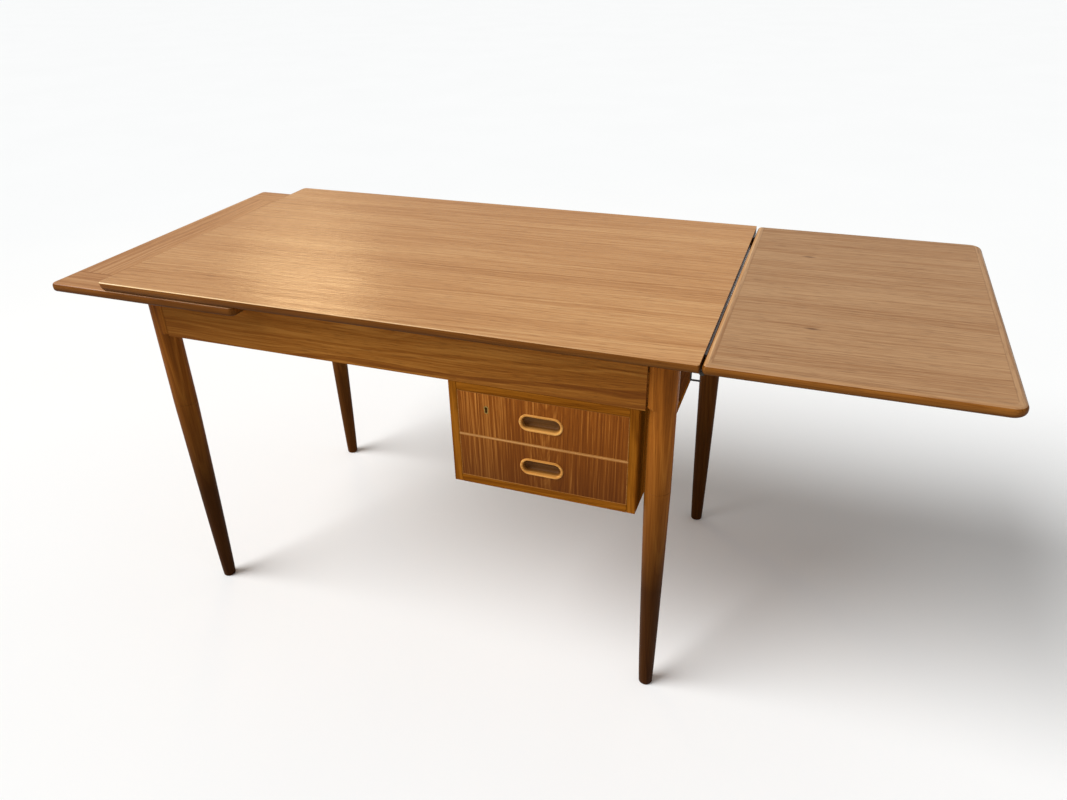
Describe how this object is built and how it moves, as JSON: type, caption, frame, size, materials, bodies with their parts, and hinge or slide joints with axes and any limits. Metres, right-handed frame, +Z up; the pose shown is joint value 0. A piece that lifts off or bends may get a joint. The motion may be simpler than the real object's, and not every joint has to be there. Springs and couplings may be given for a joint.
{
  "type": "drop leaf table",
  "caption": "Mid-century style teak desk table with a hinged drop leaf, a sliding draw leaf and a hung case of drawers on round tapered legs.",
  "frame": {"origin": "on the floor, under the middle of the box that the table fills with the drop leaf raised and the draw leaf partly out", "axes": "+X towards the hinged drop leaf, +Z up, the drawer fronts face -Y"},
  "size_m": [1.667, 0.68, 0.73],
  "materials": {
    "teak_top": "teak veneer with solid lipping, thin satin lacquer",
    "teak_leaf": "teak veneer with solid lipping, thin satin lacquer, a little browner",
    "teak_frame": "solid teak, oiled",
    "teak_leg": "turned solid teak, oiled, darker",
    "teak_drawer_veneer": "crown-cut teak veneer, grain upright, satin",
    "teak_pull": "pale solid teak, sanded smooth and oiled",
    "beech_inside": "planed beech, unfinished",
    "steel": "dull bright-drawn steel",
    "brass": "aged brass"
  },
  "bodies": {
    "frame": {"main_top_panel": "teak_top", "main_top_lipping_front": "teak_top", "main_top_lipping_back": "teak_top", "main_top_lipping_left": "teak_top", "main_top_lipping_right": "teak_top", "leg_front_left": "teak_leg", "leg_front_right": "teak_leg", "leg_back_left": "teak_leg", "leg_back_right": "teak_leg", "front_apron": "teak_frame", "back_apron": "teak_frame", "left_end_rail": "teak_frame", "right_end_rail": "teak_frame", "bearer_guide_rail": "beech_inside", "case_hanger_rail_left": "beech_inside", "case_hanger_rail_right": "beech_inside", "centre_board": "beech_inside", "case_side_left": "teak_frame", "case_side_right": "teak_frame", "case_top": "teak_frame", "case_bottom": "teak_frame", "case_back": "beech_inside", "case_divider": "teak_pull", "upper_runner_left": "beech_inside", "upper_runner_right": "beech_inside", "lower_runner_left": "beech_inside", "lower_runner_right": "beech_inside", "hinge_top_plate_front": "steel", "hinge_top_plate_back": "steel", "hinge_pin_front": "steel", "hinge_pin_back": "steel"},
    "drop_leaf": {"drop_leaf_panel": "teak_leaf", "drop_leaf_lipping_front": "teak_leaf", "drop_leaf_lipping_back": "teak_leaf", "drop_leaf_lipping_left": "teak_leaf", "drop_leaf_lipping_right": "teak_leaf", "hinge_leaf_plate_front": "steel", "hinge_leaf_plate_back": "steel"},
    "draw_leaf": {"draw_leaf_front_rail": "teak_top", "draw_leaf_back_rail": "teak_top", "draw_leaf_end_band": "teak_top", "draw_leaf_panel": "teak_top", "draw_leaf_bearer_front": "beech_inside", "draw_leaf_bearer_back": "beech_inside"},
    "upper_drawer": {"upper_drawer_front": "teak_drawer_veneer", "upper_drawer_pull": "teak_pull", "upper_drawer_side_left": "beech_inside", "upper_drawer_side_right": "beech_inside", "upper_drawer_back": "beech_inside", "upper_drawer_bottom": "beech_inside", "drawer_lock_case": "steel", "keyhole_escutcheon": "brass"},
    "lock_bolt": {"drawer_lock_bolt": "brass"},
    "lower_drawer": {"lower_drawer_front": "teak_drawer_veneer", "lower_drawer_pull": "teak_pull", "lower_drawer_side_left": "beech_inside", "lower_drawer_side_right": "beech_inside", "lower_drawer_back": "beech_inside", "lower_drawer_bottom": "beech_inside"}
  },
  "joints": [
    {"name": "drop_leaf_hinge", "type": "hinge", "parent": "frame", "child": "drop_leaf", "pos_m": [0.408, 0, 0.7065], "axis": [0, 1, 0], "range_deg": [0, 90]},
    {"name": "draw_leaf_slide", "type": "slide", "parent": "frame", "child": "draw_leaf", "axis": [-1, 0, 0], "range_m": [-0.126, 0.299]},
    {"name": "upper_drawer_slide", "type": "slide", "parent": "frame", "child": "upper_drawer", "axis": [0, -1, 0], "range_m": [0, 0.36]},
    {"name": "lower_drawer_slide", "type": "slide", "parent": "frame", "child": "lower_drawer", "axis": [0, -1, 0], "range_m": [0, 0.36]},
    {"name": "lock_bolt_throw", "type": "slide", "parent": "upper_drawer", "child": "lock_bolt", "axis": [0, 0, 1], "range_m": [0, 0.006]}
  ]
}
